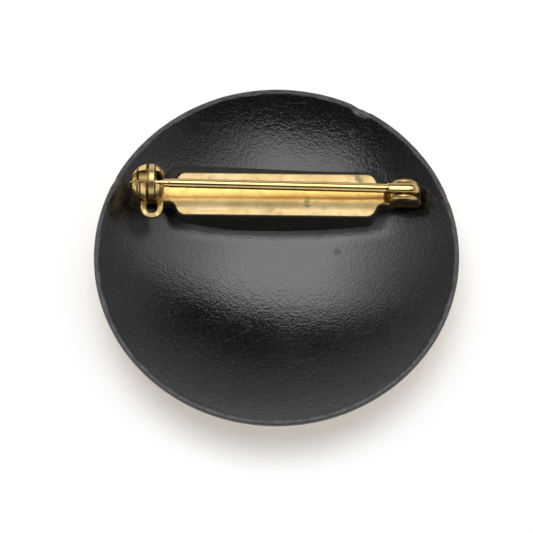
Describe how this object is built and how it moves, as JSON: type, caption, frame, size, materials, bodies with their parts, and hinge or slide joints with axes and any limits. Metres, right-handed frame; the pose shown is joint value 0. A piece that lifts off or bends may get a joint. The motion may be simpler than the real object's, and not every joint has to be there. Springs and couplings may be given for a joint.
{
  "type": "round enamelled badge with bar pin",
  "caption": "Round domed enamelled badge whose dished black back carries a brass bar pin with a riveted hinge and a turning safety catch.",
  "frame": {"origin": "apex of the domed front, which is the centre of the bounding box's bottom face: the point the badge rests on when it lies face down", "axes": "+Z from the domed front to the back that carries the pin, +X towards the hinge, -X towards the catch, +Y towards the edge nearer the pin"},
  "size_m": [0.04, 0.04, 0.0101],
  "materials": {
    "front_enamel": null,
    "copper": "pressed copper sheet, covered all over",
    "black_enamel": "glossy black fired enamel, faint orange peel, ground edge",
    "adhesive": "smooth dark cured adhesive",
    "plate_brass": "bright gold-coloured brass sheet with small tarnish spots",
    "rivet_brass": "plain brass",
    "stem_brass": "drawn brass wire",
    "catch_brass": "aged brass",
    "rotor_brass": "aged brass, worn bright on the ring"
  },
  "bodies": {
    "badge": {"front_enamel": "front_enamel", "copper_core": "copper", "counter_enamel": "black_enamel", "adhesive_bed": "adhesive", "pin_plate": "plate_brass", "hinge_rivet": "rivet_brass", "catch_housing": "catch_brass"},
    "pin": {"pin_stem": "stem_brass"},
    "catch_lever": {"catch_rotor": "rotor_brass"}
  },
  "joints": [
    {"name": "stem_hinge", "type": "hinge", "parent": "badge", "child": "pin", "pos_m": [0.01445, 0.0073, 0.00651], "axis": [0, 1, 0], "range_deg": [0, 80]},
    {"name": "catch_turn", "type": "hinge", "parent": "badge", "child": "catch_lever", "pos_m": [-0.01402, 0.0073, 0.00812], "axis": [-1, 0, 0], "range_deg": [0, 150]}
  ]
}
